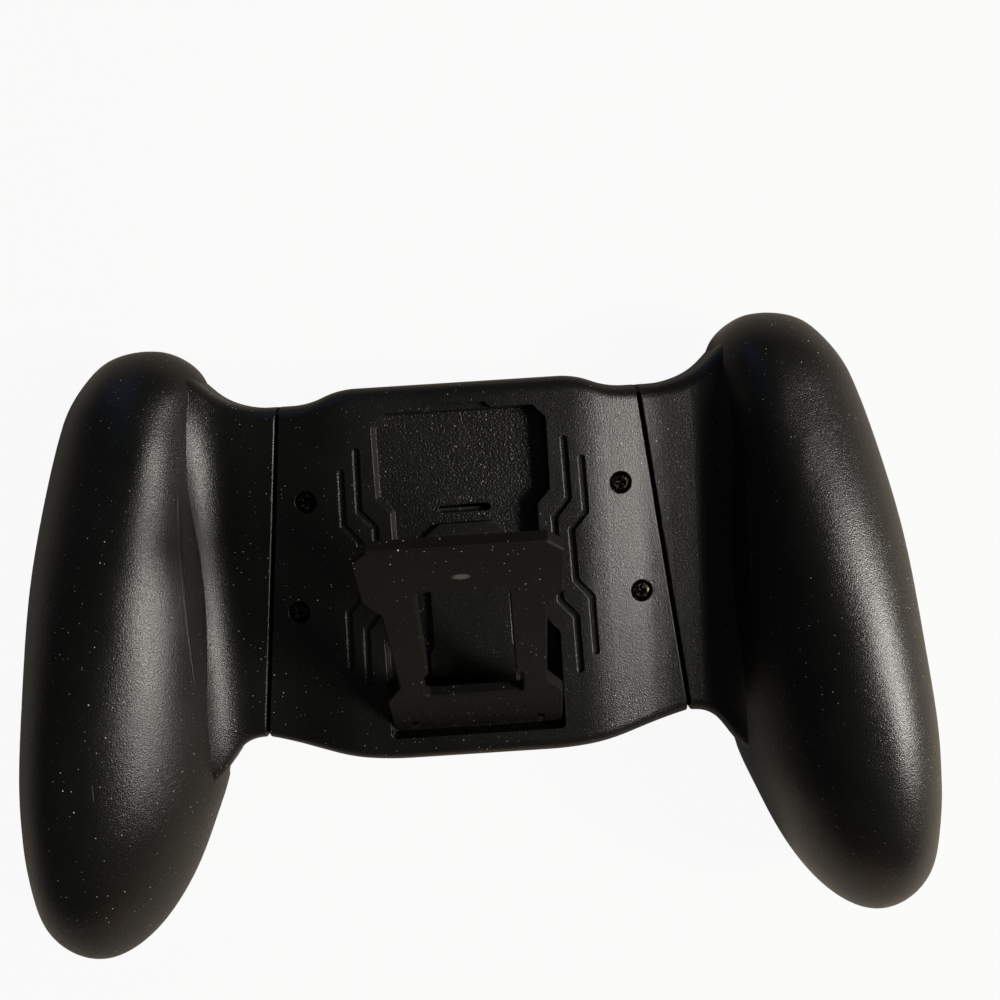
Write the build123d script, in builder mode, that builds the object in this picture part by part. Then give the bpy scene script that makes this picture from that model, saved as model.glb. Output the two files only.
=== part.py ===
from build123d import *
import os
from math import cos, radians, sin, tan

# Extendable hand-held controller for a phone, lying on its front with its back up.
# X runs from palm grip to palm grip, Y from the lower edge to the upper one,
# Z from the front, which rests on the table, up to the back. Millimetres and degrees.
# Two palm grips slide outwards on a middle housing, and a kickstand hinges on its back.
os.makedirs("parts", exist_ok=True)

# Overall envelope, closed up
overall_width = 187.0
overall_length = 125.0
half_width = overall_width / 2
half_length = overall_length / 2

# Level of the housing's back above the table, and the other levels measured from it
back_height = 26.0
parting_below_back = 8.6
bed_below_parting = 3.0
ridge_above_back = 18.0

# Shared walls and clearances
shell_wall = 1.8
slide_clearance = 0.25
fit_clearance = 0.3
running_clearance = 0.05
press_clearance = 0.02
overrun = 5.0

# Middle housing
seam_gap = 0.7
seam_upper_half = 35.7
seam_angle = 6.6
seam_bevel = 0.2
body_top_y = 52.4
body_bottom_y = -23.4
shoulder_drop = 2.6
shoulder_inset = 2.7
sill_half = 30.0
sill_angle = 14.0
flat_top_half = 20.0
flat_bottom_half = 14.0
back_flat_inset = 10.7
back_slope_angle = 12.5
back_blend_radius = 30.0
rim_radius = 3.0
tray_rim_radius = 1.2

# Recess for the kickstand
recess_depth = 3.6
recess_narrow_y = 27.5
recess_top_y = 47.1
recess_half_wide = 17.15
recess_half_narrow = 14.5
recess_half_low = 17.6
recess_corner = 2.6
recess_step_height = 2.9
recess_low_step_y = 5.2
recess_low_step_height = 3.7
recess_bottom_y = -18.35
recess_draft = 7.0
recess_corner_radius = 0.9
island_top_y = 24.4
island_top_half = 5.1
island_shoulder_drop = 2.1
island_half = 7.95
island_foot_half = 8.9
island_foot_y = -0.6
island_foot_step = 1.6
island_bottom_y = -6.9
island_slope_run = 3.2
island_corner_radius = 0.5
floor_slot_length = 10.5
floor_slot_width = 1.5
floor_slot_y = 27.3
thumb_notch_half = 6.4
thumb_notch_top_half = 5.3
thumb_notch_reach = 1.1
thumb_notch_depth = 1.3

# Ornamental grooves beside the recess
groove_width = 1.35
groove_depth = 0.7
inner_groove_x = 20.7
outer_groove_x = 24.0
groove_jog = 3.0
groove_jog_height = 3.5
groove_lean = 0.3
inner_groove_top_y = 40.0
inner_groove_waist_y = 28.2
inner_groove_low_y = 7.9
inner_groove_end_y = -6.4
outer_groove_top_y = 36.0
outer_groove_waist_y = 25.5
outer_groove_low_y = 11.7
outer_groove_end_y = -2.9

# Fasteners
screw_diameter = 2.0
screw_head_diameter = 3.5
screw_head_height = 1.3
screw_head_round = 0.5
screw_pocket_diameter = 4.5
screw_pocket_depth = 1.9
screw_hole_clearance = 0.2
screw_pilot_clearance = 0.04
cross_width = 0.6
cross_length = 2.2
cross_depth = 0.8
boss_diameter = 5.2
cover_screw_upper_inset = 6.6
cover_screw_upper_y = 30.6
cover_screw_lower_inset = 5.9
cover_screw_lower_y = 8.4
cover_screw_length = 6.0
grip_screw_length = 8.0
grip_seat_thickness = 3.0
grip_boss_diameter = 7.0
wing_screw_length = 6.0
wing_pocket_depth = 1.4
grip_screw_shares = ((0.754, 0.76), (0.895, -0.384), (0.833, -0.72))
wing_screw_shares = ((0.705, 0.512), (0.644, -0.144))

# Slide frames, one to each palm grip, with three arms that run in the middle housing
slide_thickness = 3.0
slide_travel = 21.0
arm_end_x = 1.6
arm_upper_y = 40.0
arm_upper_width = 10.4
arm_middle_y = 19.5
arm_middle_width = 12.0
arm_lower_y = -6.5
arm_lower_width = 17.0
guide_rib_width = 1.5
guide_rib_height = 3.0
spring_slot_width = 4.2
stop_post_diameter = 3.2
stop_post_height = 3.1
spring_anchor_x = 44.0
spring_slot_end_x = 46.0
anchor_nose_width = 1.8
spring_diameter = 2.6

# Kickstand, measured from its hinge along its own plate
stand_angle = 46.1
hinge_y = -14.9
hinge_depth = 2.0
stand_thickness = 2.2
stand_head_rise = 4.4
stand_leg_foot = 17.2
stand_base_top = 11.6
stand_base_low = 1.15
stand_corner_radius = 0.6
stand_bevel = 0.3
window_top = 49.3
window_step = 21.6
window_step_height = 1.7
window_bottom = 12.9
window_half_top = 7.6
window_half_low = 8.1
window_half_foot = 9.35
window_corner_radius = 1.1
barrel_radius = 1.3
hinge_pin_diameter = 1.5
hinge_pin_grip = 1.4
hinge_pin_bevel = 0.2
hinge_notch_x = 12.7
hinge_notch_width = 1.5
hinge_notch_top = 2.5

# Palm grips
front_sag = 0.8
jaw_inset = 31.5
lip_reach = 2.0
lip_thickness = 3.0
jaw_bottom_y = -29.0
wing_back_drop = 2.9
wing_root_share = 0.618
wing_flare_share = 0.586
wing_flat_share = 0.5
wing_flare = 5.4
crest_pitch = 14.5
first_crest_y = 15.0
scallop_count = 5
scallop_depth = 0.9
clamp_pad_thickness = 1.2
clamp_pad_half = 30.0
clamp_pad_y = 13.5
clamp_pad_low = 3.5
clamp_pad_below_bed = 0.9
clamp_pad_corner = 2.0
clamp_groove_pitch = 5.0
clamp_groove_count = 11
clamp_groove_width = 1.0
clamp_groove_depth = 0.35

# Soft bed for the phone on the middle housing's front
bed_pad_thickness = 1.4
bed_pad_seat = 1.0
bed_pad_half = 30.0
bed_pad_top_y = 44.0
bed_pad_bottom_y = -16.0
bed_pad_corner = 3.0
bed_groove_pitch = 6.0
bed_groove_count = 9
bed_groove_width = 1.2
bed_groove_depth = 0.4

# The grip's outline, one row to a station along it. The place along the grip is a share
# of the half length, and the inner edge, ridge and outer edge are shares of the half
# width. Rise and drop are shares of the full heights over and under the parting plane.
grip_stations_shares = (
    (0.992, 0.621, 0.668, 0.716, 0.15, 0.3),
    (0.965, 0.589, 0.665, 0.758, 0.263, 0.53),
    (0.928, 0.564, 0.662, 0.786, 0.361, 0.72),
    (0.870, 0.548, 0.661, 0.818, 0.459, 0.9),
    (0.790, 0.551, 0.661, 0.849, 0.538, 1.0),
    (0.680, 0.555, 0.665, 0.876, 0.613, 1.0),
    (0.520, 0.554, 0.694, 0.907, 0.707, 1.0),
    (0.296, 0.550, 0.735, 0.942, 0.82, 1.0),
    (0.040, 0.553, 0.777, 0.966, 0.921, 1.0),
    (-0.216, 0.561, 0.807, 0.986, 0.989, 1.0),
    (-0.440, 0.582, 0.823, 0.998, 1.0, 1.0),
    (-0.600, 0.623, 0.831, 1.0, 0.951, 1.0),
    (-0.744, 0.667, 0.839, 0.997, 0.835, 1.0),
    (-0.856, 0.712, 0.845, 0.983, 0.662, 0.9),
    (-0.936, 0.759, 0.849, 0.946, 0.474, 0.68),
    (-0.984, 0.809, 0.852, 0.899, 0.248, 0.36),
)
grip_top_share = 0.668
grip_tip_share = 0.852
round_share = 0.5523
square_share = 0.72

# The wing's upper and lower edges in plan: how far out from the seam to the wing's root,
# past it inside the grip, and how far from the seam's end to the grip's tip. Then the
# height of the wing's flare at places along the grip.
wing_top_shares = ((0.205, 0.011), (0.408, 0.090), (0.602, 0.276), (0.735, 0.493), (1.0, 0.606))
wing_bottom_shares = ((0.385, 0.038), (0.516, 0.090), (0.76, 0.179), (1.1, 0.262), (1.5, 0.285))
wing_flare_shares = (
    (1.0, -0.23),
    (0.80, 0.5),
    (0.62, 1.0),
    (-0.20, 1.0),
    (-0.36, 0.5),
    (-0.504, -0.23),
)

# Derived levels and places
parting_height = back_height - parting_below_back
bed_level = parting_height - bed_below_parting
ridge_height = back_height + ridge_above_back
clamp_pad_high = bed_level - clamp_pad_below_bed
jaw_x = half_width - jaw_inset
shoulder_half = seam_upper_half - shoulder_inset
back_flat_half = seam_upper_half - back_flat_inset
wing_end_x = wing_root_share * half_width
wing_flare_x = wing_flare_share * half_width
hinge_pin_half = recess_half_low + hinge_pin_grip
slide_low = parting_height + slide_clearance
slide_high = slide_low + slide_thickness
ceiling_level = slide_high + slide_clearance
recess_floor = back_height - recess_depth
island_level = back_height - stand_thickness - fit_clearance
seam_back = back_height - wing_back_drop
back_slope_end = back_flat_half + wing_back_drop / tan(radians(back_slope_angle))
wing_flat_x = back_slope_end + wing_flat_share * (wing_flare_x - back_slope_end)
hinge_z = back_height - hinge_depth
grip_rise = ridge_height - parting_height
front_drop = parting_height + front_sag
shoulder_y = body_top_y - shoulder_drop
post_x = arm_end_x + spring_slot_width / 2 + slide_travel + stop_post_diameter / 2
stand_gap = fit_clearance + stand_thickness * tan(radians(recess_draft))
pilot_radius = (screw_diameter + screw_pilot_clearance) / 2
free_hole_radius = (screw_diameter + screw_hole_clearance) / 2
arm_lanes = (
    (arm_upper_y, arm_upper_width),
    (arm_middle_y, arm_middle_width),
    (arm_lower_y, arm_lower_width),
)
spring_lanes = {"upper": arm_upper_y, "lower": arm_lower_y}
lane_top_y = arm_upper_y + arm_upper_width / 2 + slide_clearance
lane_bottom_y = arm_lower_y - arm_lower_width / 2 - slide_clearance
grip_screw_places = [(x * half_width, y * half_length) for x, y in grip_screw_shares]
sill_y = body_bottom_y + (sill_half - flat_bottom_half) * tan(radians(sill_angle / 2))


def seam_x(y):
    """Half width of the seam's middle line at y."""
    return seam_upper_half + (shoulder_y - y) * tan(radians(seam_angle))


sill_seam_y = sill_y + (seam_x(sill_y) - sill_half) * tan(radians(sill_angle))
wing_screw_places = [
    (seam_x(along * half_length) + out * (wing_end_x - seam_x(along * half_length)), along * half_length)
    for out, along in wing_screw_shares
]
cover_screw_places = [
    (side * (seam_x(y) - inset), y)
    for side in (1, -1)
    for inset, y in (
        (cover_screw_upper_inset, cover_screw_upper_y),
        (cover_screw_lower_inset, cover_screw_lower_y),
    )
]


def back_level(x):
    """Height of the sloped back at a distance from the middle, level again past the slope."""
    return max(seam_back, back_height - (x - back_flat_half) * tan(radians(back_slope_angle)))


def body_outline(level):
    """Plan outline of the middle housing, with shoulders, sills and slanted seam sides."""
    upper_x = seam_x(shoulder_y) - seam_gap / 2
    lower_x = seam_x(sill_seam_y) - seam_gap / 2
    shoulder_mid = ((flat_top_half + shoulder_half) / 2, (body_top_y + shoulder_y) / 2)
    with BuildSketch(Plane.XY.offset(level)) as outline:
        with BuildLine():
            Line((0, body_top_y), (flat_top_half, body_top_y))
            falling = TangentArc((flat_top_half, body_top_y), shoulder_mid, tangent=(1, 0))
            TangentArc(shoulder_mid, (shoulder_half, shoulder_y), tangent=falling % 1)
            Line((shoulder_half, shoulder_y), (upper_x, shoulder_y))
            Line((upper_x, shoulder_y), (lower_x, sill_seam_y))
            Line((lower_x, sill_seam_y), (sill_half, sill_y))
            TangentArc((flat_bottom_half, body_bottom_y), (sill_half, sill_y), tangent=(1, 0))
            Line((flat_bottom_half, body_bottom_y), (0, body_bottom_y))
            Line((0, body_bottom_y), (0, body_top_y))
        make_face()
        mirror(about=Plane.YZ)
    return outline.sketch


def back_profile():
    """Section of the middle housing's back, flat in the middle and sloped to the seams."""
    with BuildSketch(Plane.XZ) as profile:
        with BuildLine():
            Polyline(
                (0, parting_height),
                (0, back_height),
                (back_flat_half, back_height),
                (back_slope_end, seam_back),
                (wing_flat_x, seam_back),
                (wing_flat_x, parting_height),
                close=True,
            )
        make_face()
        bends = [v for v in profile.vertices() if back_flat_half - fit_clearance < v.X < wing_flat_x]
        fillet(bends, back_blend_radius)
        mirror(about=Plane.YZ)
    return profile.sketch


def recess_outline():
    """The stepped outline of the kickstand's recess on the back."""
    with BuildSketch(Plane.XY.offset(back_height)) as outline:
        with BuildLine():
            Polyline(
                (0, recess_top_y),
                (recess_half_wide - recess_corner, recess_top_y),
                (recess_half_wide, recess_top_y - recess_corner),
                (recess_half_wide, recess_narrow_y + recess_step_height),
                (recess_half_narrow, recess_narrow_y),
                (recess_half_narrow, recess_low_step_y),
                (recess_half_low, recess_low_step_y - recess_low_step_height),
                (recess_half_low, recess_bottom_y),
                (0, recess_bottom_y),
                close=True,
            )
        make_face()
        fillet([v for v in outline.vertices() if v.X > 0], recess_corner_radius)
        mirror(about=Plane.YZ)
    return outline.sketch


def island_outline():
    """The raised field in the recess, with cut upper corners and a wider foot."""
    with BuildSketch(Plane.XY.offset(recess_floor)) as outline:
        with BuildLine():
            Polyline(
                (0, island_top_y),
                (island_top_half, island_top_y),
                (island_half, island_top_y - island_shoulder_drop),
                (island_half, island_foot_y),
                (island_foot_half, island_foot_y - island_foot_step),
                (island_foot_half, island_bottom_y),
                (0, island_bottom_y),
                close=True,
            )
        make_face()
        fillet([v for v in outline.vertices() if v.X > 0], island_corner_radius)
        mirror(about=Plane.YZ)
    return outline.sketch


def groove_route(x, top_y, waist_y, low_y, end_y):
    """Corner points of one zigzag groove, from its upper end down."""
    return (
        (x - groove_lean, top_y),
        (x, waist_y),
        (x - groove_jog, waist_y - groove_jog_height),
        (x - groove_jog + groove_lean, low_y),
        (x + groove_lean, low_y - groove_jog_height),
        (x + 2 * groove_lean, end_y),
    )


def groove_sketch():
    """Both grooves of the right side as chains of round-ended slots, and their mirror."""
    inner = (inner_groove_top_y, inner_groove_waist_y, inner_groove_low_y, inner_groove_end_y)
    outer = (outer_groove_top_y, outer_groove_waist_y, outer_groove_low_y, outer_groove_end_y)
    with BuildSketch(Plane.XY.offset(back_height)) as grooves:
        for x, heights in ((inner_groove_x, inner), (outer_groove_x, outer)):
            route = groove_route(x, *heights)
            for start, end in zip(route, route[1:]):
                run = Vector(*end) - Vector(*start)
                turn = Vector(1, 0, 0).get_signed_angle(run, Vector(0, 0, 1))
                with Locations((Vector(*start) + Vector(*end)) / 2):
                    SlotCenterToCenter(run.length, groove_width, rotation=turn)
        mirror(about=Plane.YZ)
    return grooves.sketch


def wing_points(shares, seam_end, tip_y):
    """Points of a wing's edge, as shares of the way from the seam's end to root and tip."""
    seam_end_x, seam_end_y = seam_end
    return [
        (seam_end_x + out * (wing_end_x - seam_end_x), seam_end_y + along * (tip_y - seam_end_y))
        for out, along in shares
    ]


def wing_outline(level):
    """Plan outline of the right wing, from the seam into the palm grip."""
    upper_seam = (seam_x(shoulder_y) + seam_gap / 2, shoulder_y)
    lower_seam = (seam_x(sill_seam_y) + seam_gap / 2, sill_seam_y)
    top = wing_points(wing_top_shares, upper_seam, half_length)
    bottom = wing_points(wing_bottom_shares, lower_seam, -half_length)
    with BuildSketch(Plane.XY.offset(level)) as outline:
        with BuildLine():
            Spline(upper_seam, *top, tangents=((1, 0), (1, 0)))
            Line(top[-1], bottom[-1])
            Spline(lower_seam, *bottom, tangents=((1, 0), (1, 0)))
            Line(lower_seam, upper_seam)
        make_face()
    return outline.sketch


def wing_section(y, flare):
    """Section of the right wing's back at y, flat at first and curving up to the grip."""
    end_level = seam_back + flare * wing_flare
    with BuildSketch(Plane.XZ.offset(-y)) as section:
        with BuildLine():
            Line((back_flat_half, parting_height), (back_flat_half, back_height))
            Line((back_flat_half, back_height), (back_slope_end, seam_back))
            Line((back_slope_end, seam_back), (wing_flat_x, seam_back))
            TangentArc((wing_flat_x, seam_back), (wing_flare_x, end_level), tangent=(1, 0))
            Line((wing_flare_x, end_level), (jaw_x, end_level))
            Line((jaw_x, end_level), (jaw_x, parting_height))
            Line((jaw_x, parting_height), (back_flat_half, parting_height))
        make_face()
        bend = [v for v in section.vertices() if abs(v.X - back_slope_end) < fit_clearance]
        fillet(bend, back_blend_radius)
    return section.sketch


def grip_edges(row, inset):
    """Place, edges and heights of one grip station, drawn in from the outside."""
    y_share, inner_share, ridge_share, outer_share, rise_share, drop_share = row
    return (
        y_share * (half_length - inset),
        inner_share * half_width + inset,
        ridge_share * half_width,
        outer_share * half_width - inset,
        parting_height + rise_share * grip_rise - inset,
        parting_height - drop_share * front_drop + inset,
    )


def grip_section(row, inset):
    """One closed cross-section of the right palm grip, round behind and squarer in front."""
    y, inner, ridge, outer, high, low = grip_edges(row, inset)
    with BuildSketch(Plane.XZ.offset(-y)) as section:
        with BuildLine():
            for level, share in ((high, round_share), (low, square_share)):
                for edge in (inner, outer):
                    Bezier(
                        (edge, parting_height),
                        (edge, parting_height + share * (level - parting_height)),
                        (ridge + share * (edge - ridge), level),
                        (ridge, level),
                    )
        make_face()
    return section.sketch


def grip_stack(inset):
    """The grip's stations from tip to tip, each end closed in a point."""
    top = Vertex(grip_top_share * half_width, half_length - inset, parting_height)
    tip = Vertex(grip_tip_share * half_width, inset - half_length, parting_height)
    return [top, *[grip_section(row, inset) for row in grip_stations_shares], tip]


def outer_edge_x(y):
    """Outer edge of the grip at y, straight between its stations."""
    rows = [grip_edges(row, 0) for row in grip_stations_shares]
    for upper, lower in zip(rows, rows[1:]):
        if lower[0] <= y <= upper[0]:
            part_way = (y - lower[0]) / (upper[0] - lower[0])
            return lower[3] + part_way * (upper[3] - lower[3])
    return half_width


def export_pair(piece, name):
    """Write a right-hand piece and its mirrored left-hand twin."""
    twin = mirror(piece, about=Plane.YZ)
    for side, solid in (("right", piece), ("left", twin)):
        solid.label = f"{side}_{name}"
        export_step(solid, f"parts/{side}_{name}.step")


# Rear cover of the middle housing
with BuildPart() as rear_cover:
    add(body_outline(parting_height))
    extrude(amount=recess_depth + back_height - parting_height)
    extrude(back_profile(), amount=half_length, both=True, mode=Mode.INTERSECT)
    wall_tops = [e for e in rear_cover.edges() if e.center().Z > seam_back - rim_radius / 6]
    fillet([e for e in wall_tops if e.center().Y > shoulder_y - seam_bevel], rim_radius)
    wall_tops = [e for e in rear_cover.edges() if e.center().Z > seam_back - rim_radius / 6]
    fillet([e for e in wall_tops if e.center().Y < sill_seam_y - seam_bevel], rim_radius)
    seam_tops = [e for e in rear_cover.edges() if abs(e.center().X) > seam_upper_half]
    seam_tops = [e for e in seam_tops if e.center().Z > seam_back - rim_radius / 6]
    chamfer([e for e in seam_tops if e.length > half_length / 2], seam_bevel)
    add(recess_outline())
    extrude(amount=-recess_depth, taper=recess_draft, mode=Mode.SUBTRACT)
    add(island_outline())
    extrude(amount=island_level - recess_floor)
    with BuildSketch(Plane.YZ):
        with BuildLine():
            Polyline(
                (island_bottom_y + island_corner_radius, recess_floor),
                (island_bottom_y + island_corner_radius, island_level),
                (island_bottom_y, island_level),
                (island_bottom_y - island_slope_run, recess_floor),
                close=True,
            )
        make_face()
    extrude(amount=island_foot_half - island_corner_radius, both=True)
    add(groove_sketch())
    extrude(amount=-groove_depth, mode=Mode.SUBTRACT)
    with BuildSketch(Plane.XY.offset(recess_floor)):
        with Locations((0, floor_slot_y)):
            SlotOverall(floor_slot_length, floor_slot_width)
    extrude(amount=ceiling_level - recess_floor, mode=Mode.SUBTRACT)
    with BuildSketch(Plane.XY.offset(back_height)):
        with BuildLine():
            Polyline(
                (-thumb_notch_half, recess_top_y),
                (-thumb_notch_top_half, recess_top_y + thumb_notch_reach),
                (thumb_notch_top_half, recess_top_y + thumb_notch_reach),
                (thumb_notch_half, recess_top_y),
                (thumb_notch_half, recess_top_y - thumb_notch_reach),
                (-thumb_notch_half, recess_top_y - thumb_notch_reach),
                close=True,
            )
        make_face()
    extrude(amount=-thumb_notch_depth, mode=Mode.SUBTRACT)
    add(offset(body_outline(parting_height), amount=-shell_wall, mode=Mode.PRIVATE))
    extrude(amount=ceiling_level - parting_height, mode=Mode.SUBTRACT)
    with BuildSketch(Plane.XY.offset(parting_height)):
        for lane_y, lane_width in arm_lanes:
            with Locations((0, lane_y)):
                Rectangle(overall_width, lane_width + 2 * slide_clearance)
    extrude(amount=ceiling_level - parting_height, mode=Mode.SUBTRACT)
    for screw_x, screw_y in cover_screw_places:
        with Locations((screw_x, screw_y, back_level(abs(screw_x)) + overrun)):
            CounterBoreHole(
                free_hole_radius,
                screw_pocket_diameter / 2,
                screw_pocket_depth + overrun,
                back_height,
            )
    with BuildSketch(Plane.YZ.offset(-hinge_pin_half - press_clearance)):
        with Locations((hinge_y, hinge_z)):
            Circle(hinge_pin_diameter / 2 + press_clearance)
    extrude(amount=2 * (hinge_pin_half + press_clearance), mode=Mode.SUBTRACT)
rear_cover.part.label = "rear_cover"
export_step(rear_cover.part, "parts/rear_cover.step")

# Front tray of the middle housing, with guide ribs, stop posts and screw bosses
with BuildPart() as front_tray:
    add(body_outline(bed_level))
    extrude(amount=parting_height - bed_level)
    fillet(front_tray.faces().sort_by(Axis.Z)[0].edges(), tray_rim_radius)
    with BuildSketch(Plane.XY.offset(bed_level)):
        with Locations((0, (bed_pad_top_y + bed_pad_bottom_y) / 2)):
            RectangleRounded(2 * bed_pad_half, bed_pad_top_y - bed_pad_bottom_y, bed_pad_corner)
    extrude(amount=bed_pad_seat, mode=Mode.SUBTRACT)
    with BuildSketch(Plane.XY.offset(parting_height)):
        rib_reach = seam_x(shoulder_y) - seam_gap / 2 - shell_wall - fit_clearance
        for lane_y, lane_width in arm_lanes:
            rib_offset = lane_width / 2 + slide_clearance + guide_rib_width / 2
            with Locations((0, lane_y + rib_offset), (0, lane_y - rib_offset)):
                Rectangle(2 * rib_reach, guide_rib_width)
    extrude(amount=guide_rib_height)
    with BuildSketch(Plane.XY.offset(parting_height)):
        with Locations(*cover_screw_places):
            Circle(boss_diameter / 2)
    extrude(amount=ceiling_level - parting_height)
    with BuildSketch(Plane.XY.offset(parting_height)):
        for lane_y in spring_lanes.values():
            with Locations((post_x, lane_y), (-post_x, lane_y)):
                Circle(stop_post_diameter / 2)
    extrude(amount=stop_post_height)
    for screw_x, screw_y in cover_screw_places:
        with Locations((screw_x, screw_y, ceiling_level)):
            Hole(pilot_radius, ceiling_level - bed_level - bed_pad_seat)
front_tray.part.label = "front_tray"
export_step(front_tray.part, "parts/front_tray.step")

# Soft bed pad, its grooves running from side to side
with BuildPart() as bed_pad:
    pad_face = bed_level + bed_pad_seat - bed_pad_thickness
    bed_pad_y = (bed_pad_top_y + bed_pad_bottom_y) / 2
    with BuildSketch(Plane.XY.offset(pad_face)):
        with Locations((0, bed_pad_y)):
            RectangleRounded(2 * bed_pad_half, bed_pad_top_y - bed_pad_bottom_y, bed_pad_corner)
    extrude(amount=bed_pad_thickness)
    with BuildSketch(Plane.XY.offset(pad_face)):
        with Locations((0, bed_pad_y)):
            with GridLocations(0, bed_groove_pitch, 1, bed_groove_count):
                SlotOverall(2 * (bed_pad_half - bed_pad_corner), bed_groove_width)
    extrude(amount=bed_groove_depth, mode=Mode.SUBTRACT)
bed_pad.part.label = "bed_pad"
export_step(bed_pad.part, "parts/bed_pad.step")

# Hinge pin of the kickstand
with BuildPart() as stand_hinge_pin:
    with BuildSketch(Plane.YZ.offset(-hinge_pin_half)):
        with Locations((hinge_y, hinge_z)):
            Circle(hinge_pin_diameter / 2)
    extrude(amount=2 * hinge_pin_half)
    chamfer(stand_hinge_pin.edges().filter_by(GeomType.CIRCLE), hinge_pin_bevel)
stand_hinge_pin.part.label = "stand_hinge_pin"
export_step(stand_hinge_pin.part, "parts/stand_hinge_pin.step")

# Kickstand, drawn in its own plane, which leans back by the stand angle
lean = radians(stand_angle)
stand_plane = Plane(origin=(0, hinge_y, hinge_z), x_dir=(1, 0, 0), z_dir=(0, -sin(lean), cos(lean)))
stand_top = recess_top_y - hinge_y - stand_gap
stand_head_low = recess_narrow_y - hinge_y + fit_clearance + stand_gap / 2
stand_head_half = recess_half_wide - stand_gap
stand_leg_half = recess_half_narrow - stand_gap
stand_base_half = recess_half_low - stand_gap
with BuildPart() as kickstand:
    with BuildSketch(stand_plane.offset(hinge_depth - stand_thickness)) as stand_outline:
        with BuildLine():
            Polyline(
                (0, stand_top),
                (stand_head_half - recess_corner, stand_top),
                (stand_head_half, stand_top - recess_corner),
                (stand_head_half, stand_head_low + stand_head_rise),
                (stand_leg_half, stand_head_low),
                (stand_leg_half, stand_leg_foot),
                (stand_base_half, stand_base_top),
                (stand_base_half, -stand_base_low),
                (0, -stand_base_low),
                close=True,
            )
        make_face()
        fillet([v for v in stand_outline.vertices() if v.X > 0], stand_corner_radius)
        mirror(about=Plane.YZ)
    extrude(amount=stand_thickness)
    with BuildSketch(stand_plane.offset(hinge_depth)) as window:
        with BuildLine():
            Polyline(
                (0, window_top),
                (window_half_top, window_top),
                (window_half_low, window_step),
                (window_half_foot, window_step - window_step_height),
                (window_half_foot, window_bottom),
                (0, window_bottom),
                close=True,
            )
        make_face()
        fillet([v for v in window.vertices() if v.X > 0], window_corner_radius)
        mirror(about=Plane.YZ)
    extrude(amount=-stand_thickness, mode=Mode.SUBTRACT)
    outer_face = kickstand.faces().sort_by(Axis((0, 0, 0), stand_plane.z_dir))[-1]
    chamfer(outer_face.edges(), stand_bevel)
    with BuildSketch(Plane.YZ.offset(-stand_base_half)):
        with Locations((hinge_y, hinge_z)):
            Circle(barrel_radius)
    extrude(amount=2 * stand_base_half)
    for side in (1, -1):
        with BuildSketch(stand_plane.offset(-hinge_depth)):
            with Locations((side * hinge_notch_x, (hinge_notch_top - 2 * barrel_radius) / 2)):
                Rectangle(hinge_notch_width, hinge_notch_top + 2 * barrel_radius)
        extrude(amount=3 * hinge_depth, mode=Mode.SUBTRACT)
    with BuildSketch(Plane.YZ.offset(-half_width)):
        with Locations((hinge_y, hinge_z)):
            Circle(hinge_pin_diameter / 2 + running_clearance)
    extrude(amount=overall_width, mode=Mode.SUBTRACT)
kickstand.part.label = "kickstand"
export_step(kickstand.part, "parts/kickstand.step")

# Whole outer form of the right palm grip, with finger scallops down its outer side
with BuildPart() as grip_form:
    loft(sections=grip_stack(0))
    scallop_radius = (crest_pitch / 2) ** 2 / (2 * scallop_depth)
    for step in range(scallop_count):
        scallop_y = first_crest_y + crest_pitch / 2 - step * crest_pitch
        with BuildSketch(Plane.XY.offset(-overrun)):
            with Locations((outer_edge_x(scallop_y) - scallop_depth + scallop_radius, scallop_y)):
                Circle(scallop_radius)
        extrude(amount=ridge_height + 2 * overrun, mode=Mode.SUBTRACT)

# Hollow of the right palm grip, one wall thickness inside its outer form
with BuildPart() as grip_hollow:
    loft(sections=grip_stack(shell_wall)[3:-3])

parting_plane = Plane.XY.offset(parting_height)
grip_back = split(grip_form.part, bisect_by=parting_plane, keep=Keep.TOP)
grip_front = split(grip_form.part, bisect_by=parting_plane, keep=Keep.BOTTOM)
hollow_back = split(grip_hollow.part, bisect_by=parting_plane, keep=Keep.TOP)
hollow_front = split(grip_hollow.part, bisect_by=parting_plane, keep=Keep.BOTTOM)

# Back of the right wing, under a skin that curves up to the grip
with BuildPart() as wing_back:
    loft(sections=[wing_section(y * half_length, flare) for y, flare in wing_flare_shares])

# Space inside the right rear shell, around its screw bosses
with BuildPart() as rear_space:
    with BuildSketch(parting_plane):
        with BuildLine():
            Polyline(
                (seam_x(lane_top_y) + seam_gap / 2 + shell_wall, lane_top_y),
                (wing_end_x, lane_top_y),
                (wing_end_x, lane_bottom_y),
                (seam_x(lane_bottom_y) + seam_gap / 2 + shell_wall, lane_bottom_y),
                close=True,
            )
        make_face()
        for lane_y, lane_width in arm_lanes:
            with Locations((wing_end_x / 2, lane_y)):
                Rectangle(wing_end_x, lane_width + 2 * slide_clearance)
    extrude(amount=ceiling_level - parting_height)
    add(hollow_back)
    with BuildSketch(parting_plane):
        with Locations(*grip_screw_places, *wing_screw_places):
            Circle(boss_diameter / 2)
    extrude(amount=ridge_height, mode=Mode.SUBTRACT)

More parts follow.
